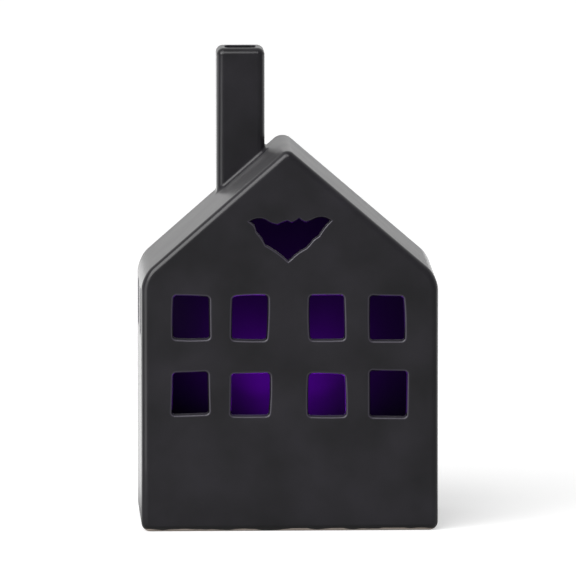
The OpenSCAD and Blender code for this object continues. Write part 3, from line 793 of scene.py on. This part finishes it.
    def break_edges(self, bm, edges, width, layer=None, axis=0, clamp=True, thinnest_and_lightest=LIP_THIN_AND_LIT):
        """Rounds edges. Given a layer, it marks the round for a lighter grey: partly glaze that thins on the
        round and thickens again into the opening, partly painted highlight.
        """
        made = bevel(bm, edges, width, 4, clamp)
        bm.normal_update()
        rounds = set(made["faces"])
        for vert in made["verts"]:
            if layer and all(face in rounds for face in vert.link_faces):
                # Painted highlight: lower lips, which face up towards the light, are marked lightest, and
                # upper lips least.
                bare = min(thinnest_and_lightest, max(UPPER_LIP, SIDE_LIP + vert.normal.z))
                vert[layer] = vert.normal[axis] ** 2 * bare

    def at_chimney_foot(self, edge, s):
        """True on the inward corner between the chimney's front and sides and the roof."""
        if len(edge.link_faces) != 2 or edge.calc_face_angle_signed() > -math.radians(25):
            return False
        on_roof = min(vert.co.z for vert in edge.verts) >= s.eave_height
        back_corner = HALF_D - s.chimney_back - 0.5 * s.chimney_radius
        in_front = max(vert.co.y for vert in edge.verts) <= back_corner
        ups = sorted(face.normal.z for face in edge.link_faces)
        return on_roof and in_front and abs(ups[0]) < 0.1 and ups[1] > 0.5

    def is_washed(self, face, s):
        """True on the faces of the room, of the flue and of the openings behind their glazed lips."""
        x, y, z = face.calc_center_median()
        slope, drop = self.roof(s)
        ceiling = s.eave_height + (HALF_W - abs(x)) * math.tan(slope) - drop
        in_height = s.foot_height + s.floor - WASH_SLACK < z < ceiling + WASH_SLACK
        # Under the bat's upper edge the wash reaches almost to the front.
        turn = BAT_TURN if z > s.eave_height and face.normal.z < 0 else s.glaze_turn
        in_front = abs(x) < HALF_W - s.wall + WASH_SLACK and abs(y) < HALF_D - turn
        in_sides = abs(y) < HALF_D - s.wall + WASH_SLACK and abs(x) < HALF_W - s.glaze_turn
        # Glaze that was sprayed on from outside covers the sills all the way in.
        on_sill = face.normal.z > 0.5 and (abs(y) > HALF_D - s.wall or abs(x) > HALF_W - s.wall)
        in_flue = s.eave_height < z < HOUSE_TOP - FLUE_TURN and abs(face.normal.z) < 0.5 and all(
            abs(at - centre) < side / 2 - s.chimney_wall + FLUE_SLACK
            for at, centre, side in zip((x, y), *self.chimney(s)))
        return in_flue or (in_height and (in_front or in_sides) and not on_sill)


class HOUSE_OT_battery_box(bpy.types.Operator):
    """Builds the moulded battery box, its door and the silicone bead that holds it."""

    bl_idname = "halloween_house.battery_box"
    bl_label = "Battery box and door"

    def execute(self, context):
        colours = context.scene.house_colours
        moulded = moulded_plastic("Spark-grained moulded ABS", colours.box, 0.7, 0.5)
        softened_piece("battery_box", 0.25 * MM, moulded)
        softened_piece("battery_door", 0.2 * MM, moulded, "door")
        softened_piece("floor_seal", 0.15 * MM, cured_silicone(colours))
        return {"FINISHED"}


class HOUSE_OT_batteries(bpy.types.Operator):
    """Builds two batteries: a sleeved can with a dished end and a button."""

    bl_idname = "halloween_house.batteries"
    bl_label = "Batteries"

    def execute(self, context):
        colours = context.scene.house_colours
        finishes = (
            battery_sleeve(colours), plated_metal("Nickel-plated battery can", colours.nickel, 0.3, 0.5))
        for node, turn in (("front_battery", 0), ("rear_battery", math.pi)):
            low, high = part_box(node)
            long, radius = high[0] - low[0], (high[1] - low[1]) / 2
            bm = turned(self.profile(long, radius), 0)
            along = bm.verts.layers.float.new("along")
            for vert in bm.verts:
                vert[along] = vert.co.x / long
            for face in bm.faces:
                place = face.calc_center_median()
                face.material_index = int(math.hypot(place.y, place.z) < 0.87 * radius)
            bmesh.ops.translate(bm, verts=bm.verts, vec=(-long / 2, 0, 0))
            turn_and_move(bm, turn, "Z", middle(node))
            finished_piece(bm, finishes, node)
        return {"FINISHED"}

    def profile(self, long, radius):
        """Half section from the dished end to the button, in metres."""
        end = long - 1 * MM
        return [
            (0.25 * MM, 0), (0.25 * MM, 3.3 * MM), (0, 3.6 * MM), (0, 4.2 * MM), (0.3 * MM, 4.5 * MM),
            (0.12 * MM, 4.7 * MM), (0.12 * MM, radius - 0.3 * MM), (0.5 * MM, radius),
            (end - 0.5 * MM, radius), (end - 0.1 * MM, radius - 0.3 * MM), (end - 0.1 * MM, 4.7 * MM),
            (end - 0.3 * MM, 4.5 * MM), (end - 0.3 * MM, 2.5 * MM), (end - 0.1 * MM, 2.1 * MM),
            (end, 1.9 * MM), (long - 0.25 * MM, 1.85 * MM), (long, 1.6 * MM), (long, 0)]


class HOUSE_OT_contacts(bpy.types.Operator):
    """Builds the contact plates and the two coil springs."""

    bl_idname = "halloween_house.contacts"
    bl_label = "Contacts and springs"

    def execute(self, context):
        colours = context.scene.house_colours
        sheet = plated_metal("Nickel-plated spring sheet", colours.nickel, 0.28, 0.6)
        for node in ("positive_contact", "negative_contact", "bridge_contact"):
            softened_piece(node, 0.08 * MM, sheet)
        drawn = plated_metal("Nickel-plated spring wire", colours.nickel, 0.24, 0.3)
        for node in ("bridge_spring", "negative_spring"):
            smooth_tube(node, drawn)
        return {"FINISHED"}


class HOUSE_OT_switch(bpy.types.Operator):
    """Builds the slide switch: pressed case, grooved knob and two screws; the board's two are like them."""

    bl_idname = "halloween_house.switch"
    bl_label = "Switch"

    def execute(self, context):
        colours = context.scene.house_colours
        pressed = plated_metal("Zinc-plated pressed steel", colours.zinc, 0.36, 0.8)
        softened_piece("switch_case", 0.15 * MM, pressed)
        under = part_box("switch_knob")[0][2]
        x, y, _ = middle("switch_knob")
        groove = (8 * MM, 0.45 * MM, 0.7 * MM)
        grooves = [
            cut_block(groove, Matrix.Translation((x, y + step * 0.95 * MM, under))) for step in (-1, 0, 1)]
        knob = soften(carved(merged_copy("switch_knob"), grooves), 0.1 * MM)
        ivory = moulded_plastic("Moulded ivory nylon", colours.knob, 0.9, 0.38)
        finished_piece(knob, [ivory], "switch_knob", "switch")
        plated = plated_metal("Zinc-plated screw steel", colours.zinc, 0.3, 0.5)
        screws("switch_screws", 1, plated)
        screws("board_screws", -1, plated)
        return {"FINISHED"}


class HOUSE_OT_lamp(bpy.types.Operator):
    """Builds the lamp board with its purple lamp, leads and resistor."""

    bl_idname = "halloween_house.lamp"
    bl_label = "Lamp board"

    def execute(self, context):
        colours = context.scene.house_colours
        softened_piece("lamp_board", 0.06 * MM, board_laminate(colours))
        bm = turned(self.profile(), 2)
        bmesh.ops.translate(bm, verts=bm.verts, vec=(0, 0, LAMP_LOW[2]))
        finished_piece(bm, [lamp_epoxy(colours)], "lamp_lens")
        tinned = plated_metal("Tinned steel wire", colours.tin, 0.3, 0.4)
        softened_piece("lamp_leads", 0.06 * MM, tinned)
        softened_piece("resistor", 0.1 * MM, resistor_lacquer(colours), segments=3)
        return {"FINISHED"}

    def profile(self):
        """Half section of the lens from its rim to its dome, in metres."""
        radius = (LAMP_HIGH[0] - LAMP_LOW[0]) / 2
        body = radius - 0.4 * MM
        high = LAMP_HIGH[2] - LAMP_LOW[2]
        rim = [
            (0, 0), (0, radius - 0.1 * MM), (0.1 * MM, radius), (0.85 * MM, radius),
            (1 * MM, radius - 0.15 * MM), (1 * MM, body + 0.1 * MM), (1.1 * MM, body)]
        rises = [math.radians(7.5 * step) for step in range(13)]
        return rim + [(high - body + body * math.sin(rise), body * math.cos(rise)) for rise in rises]


class HOUSE_OT_wires(bpy.types.Operator):
    """Builds the three wires between contacts, switch and lamp board."""

    bl_idname = "halloween_house.wires"
    bl_label = "Wires"

    def execute(self, context):
        colours = context.scene.house_colours
        for name in ("red", "yellow", "black"):
            skin = wire_skin(f"Extruded {name} PVC", getattr(colours, name))
            smooth_tube(f"{name}_wire", skin)
        return {"FINISHED"}


def facing(direction):
    """Turn that points a light or the camera in a direction."""
    return Vector(direction).to_track_quat("-Z", "Y").to_euler()


class HOUSE_OT_stage(bpy.types.Operator):
    """Adds the pale floor, the soft light, the glow of the lamp and the camera."""

    bl_idname = "halloween_house.stage"
    bl_label = "Stage"

    def execute(self, context):
        settings = context.scene.house_stage
        self.add_floor()
        self.add_world(context.scene)
        self.add_lights(settings)
        self.add_camera(context.scene, settings)
        context.scene.view_settings.view_transform = "Standard"
        return {"FINISHED"}

    def add_floor(self):
        """Wide floor, open inside the line on which the foot stands, so that light reaches the underside."""
        bm = bmesh.new()
        bmesh.ops.create_grid(bm, x_segments=3, y_segments=3, size=SWEEP)
        for vert in bm.verts:
            for axis, half in ((0, HALF_W), (1, HALF_D)):
                if abs(vert.co[axis]) < SWEEP / 2:
                    vert.co[axis] = math.copysign(half - FOOT_INSET[axis], vert.co[axis])
        under_house = [face for face in bm.faces if face.calc_center_median().length < 1 * MM]
        bmesh.ops.delete(bm, geom=under_house, context="FACES")
        floor = loose_object("Floor", bm)
        floor.data.materials.append(self.white_sweep())

    def white_sweep(self):
        """Matt white board that keeps shadows, white to the camera and not there when seen from below."""
        material, add, place = new_material("White sweep")
        path = add("LightPath").outputs
        glossy = path["Is Glossy Ray"]
        seen = add(
            "Math", {0: path["Is Camera Ray"], 1: path["Is Transmission Ray"]}, operation="MAXIMUM")
        # Mirror-like rays see it white in a band behind the house, and a little light far off on the left.
        spot = add("SeparateXYZ", {"Vector": place}).outputs
        depth = add("MapRange", {"Value": spot["Y"], "From Min": 0.0, "From Max": 4.0})
        black, white = linear("#000000"), linear("#ffffff")
        behind = add(
            "ValToRGB", {"Fac": depth}, ((0.005, black), (0.04, white), (0.3, white), (0.6, black)))
        leftwards = add(
            "MapRange", {"Value": spot["X"], "From Min": 0.1, "From Max": -0.1, "To Max": 0.3})
        beyond = add("Math", {0: depth, 1: 0.04}, operation="GREATER_THAN")
        left_side = add("Math", {0: leftwards, 1: beyond}, operation="MULTIPLY")
        bright = add("Math", {0: behind, 1: left_side}, operation="MAXIMUM")
        mirrored = add("Math", {0: glossy, 1: bright}, operation="MULTIPLY")
        lift = add("Math", {0: seen, 1: 0.44, 2: mirrored}, operation="MULTIPLY_ADD")
        dimmed = add("Math", {0: lift, 1: 0.55}, operation="MINIMUM")
        grey = add("Math", {0: glossy, 1: mirrored}, operation="SUBTRACT")
        tone = add(
            "Mix", {"Factor": grey, 6: linear("#e6e6e6"), 7: linear("#9c9c9c")}, data_type="RGBA")
        matte = add("BsdfDiffuse", {"Color": tone.outputs[2]})
        glow = add("Emission", {"Strength": dimmed})
        both = add("AddShader", {0: matte, 1: glow})
        under = add("NewGeometry").outputs["Backfacing"]
        clear = add("BsdfTransparent")
        add("OutputMaterial", {"Surface": add("MixShader", {0: under, 1: both, 2: clear})})
        return material

    def add_world(self, scene):
        """Even light from all round, white to the camera."""
        world = bpy.data.worlds.new("Studio")
        scene.world = world
        world.use_nodes = True
        world.node_tree.nodes.clear()
        add = functools.partial(add_node, world.node_tree)
        path = add("LightPath").outputs
        seen = add(
            "Math", {0: path["Is Camera Ray"], 1: path["Is Transmission Ray"]}, operation="MAXIMUM")
        # Mirror-like rays see a pale wall behind the house and a dimmer room in front of it.
        way = add("TexCoord").outputs["Generated"]
        depth = add("SeparateXYZ", {"Vector": way}).outputs["Y"]
        room = add("MapRange", {
            "Value": depth, "From Min": -0.4, "From Max": 0.5, "To Min": 0.25, "To Max": 0.72})
        plain = add("Mix", {"Factor": path["Is Glossy Ray"], "A": 0.5, "B": room})
        strength = add("Mix", {"Factor": seen, "A": plain, "B": 1.0})
        light = add("Background", {"Strength": strength})
        add("OutputWorld", {"Surface": light})

    def add_light(self, kind, name, place, turn, **settings):
        """Adds a light and returns its object."""
        light = bpy.data.lights.new(name, kind)
        for setting, value in settings.items():
            setattr(light, setting, value)
        holder = bpy.data.objects.new(name, light)
        holder.location = place
        holder.rotation_euler = turn
        bpy.context.scene.collection.objects.link(holder)
        return holder

    def add_lights(self, settings):
        """Broad light, two softboxes and a card in front of the house, and the lamp inside it."""
        tilt = math.radians(35)
        self.add_light("SUN", "Broad light", (0, 0, 0), (tilt, -tilt, 0), energy=1.5, angle=math.radians(60))
        for name, place, width, height, power in (
                ("Left softbox", (-0.77, -0.67, 0.73), 0.7, 0.7, 4.0),
                ("Top softbox", (0.0, -0.75, 0.85), 0.5, 0.5, 1.5),
                ("Left card", (-0.2, -0.16, 0.085), 0.13, 0.17, 0.1)):
            panel = self.add_light(
                "AREA", name, place, facing(LIGHT_AIM - Vector(place)), shape="RECTANGLE", size=width,
                size_y=height, energy=power)
            panel.visible_camera = False
        # The lamp glows all round, a little more towards the back wall, and throws two beams up at it.
        for name, towards, cone, share in (
                ("Lamp glow", (0.07, 0, 1), 176, 0.92), ("Back glow", (0.02, 0.8, 0.6), 90, 0.07),
                ("Left beam", (-0.3, 0.64, 0.71), 38, 0.5), ("Right beam", (0.34, 0.64, 0.71), 38, 0.42)):
            self.add_light(
                "SPOT", name, (0, 0, LAMP_HIGH[2] + GLOW_GAP), facing(towards),
                energy=settings.lamp_power * share, color=GLOW_COLOUR, spot_size=math.radians(cone),
                spot_blend=1.0, shadow_soft_size=GLOW_RADIUS)

    def add_camera(self, scene, settings):
        """Long lens, aimed at the middle of the house."""
        camera = bpy.data.cameras.new("Camera")
        camera.sensor_width = 36
        camera.lens = settings.lens
        camera.clip_end = 20
        holder = bpy.data.objects.new("Camera", camera)
        turn, flat = settings.azimuth, math.cos(settings.elevation)
        ahead = Vector((math.sin(turn) * flat, math.cos(turn) * flat, -math.sin(settings.elevation)))
        aim = Vector((settings.aim_side, 0, settings.aim_height))
        holder.location = aim - ahead * settings.distance
        holder.rotation_euler = facing(ahead)
        scene.collection.objects.link(holder)
        scene.camera = holder


class HOUSE_PT_panel(bpy.types.Panel):
    """Lists the steps that build the house."""

    bl_idname = "HOUSE_PT_panel"
    bl_label = "Halloween House"
    bl_space_type = "VIEW_3D"
    bl_region_type = "UI"
    bl_category = "Halloween House"

    def draw(self, context):
        for operator in OPERATORS:
            self.layout.operator(operator.bl_idname)


OPERATORS = (
    HOUSE_OT_shell, HOUSE_OT_battery_box, HOUSE_OT_batteries, HOUSE_OT_contacts, HOUSE_OT_switch,
    HOUSE_OT_lamp, HOUSE_OT_wires, HOUSE_OT_stage)
GROUPS = {"house_sizes": HouseSizes, "house_colours": HouseColours, "house_stage": StageSettings}


def register():
    for group in GROUPS.values():
        bpy.utils.register_class(group)
    for operator in OPERATORS + (HOUSE_PT_panel,):
        bpy.utils.register_class(operator)
    for name, group in GROUPS.items():
        setattr(bpy.types.Scene, name, bpy.props.PointerProperty(type=group))


def unregister():
    for name in GROUPS:
        delattr(bpy.types.Scene, name)
    for known in (HOUSE_PT_panel,) + OPERATORS[::-1] + tuple(GROUPS.values()):
        bpy.utils.unregister_class(known)


def main():
    register()
    for operator in OPERATORS:
        group, name = operator.bl_idname.split(".")
        getattr(getattr(bpy.ops, group), name)()


if __name__ == "__main__":
    main()
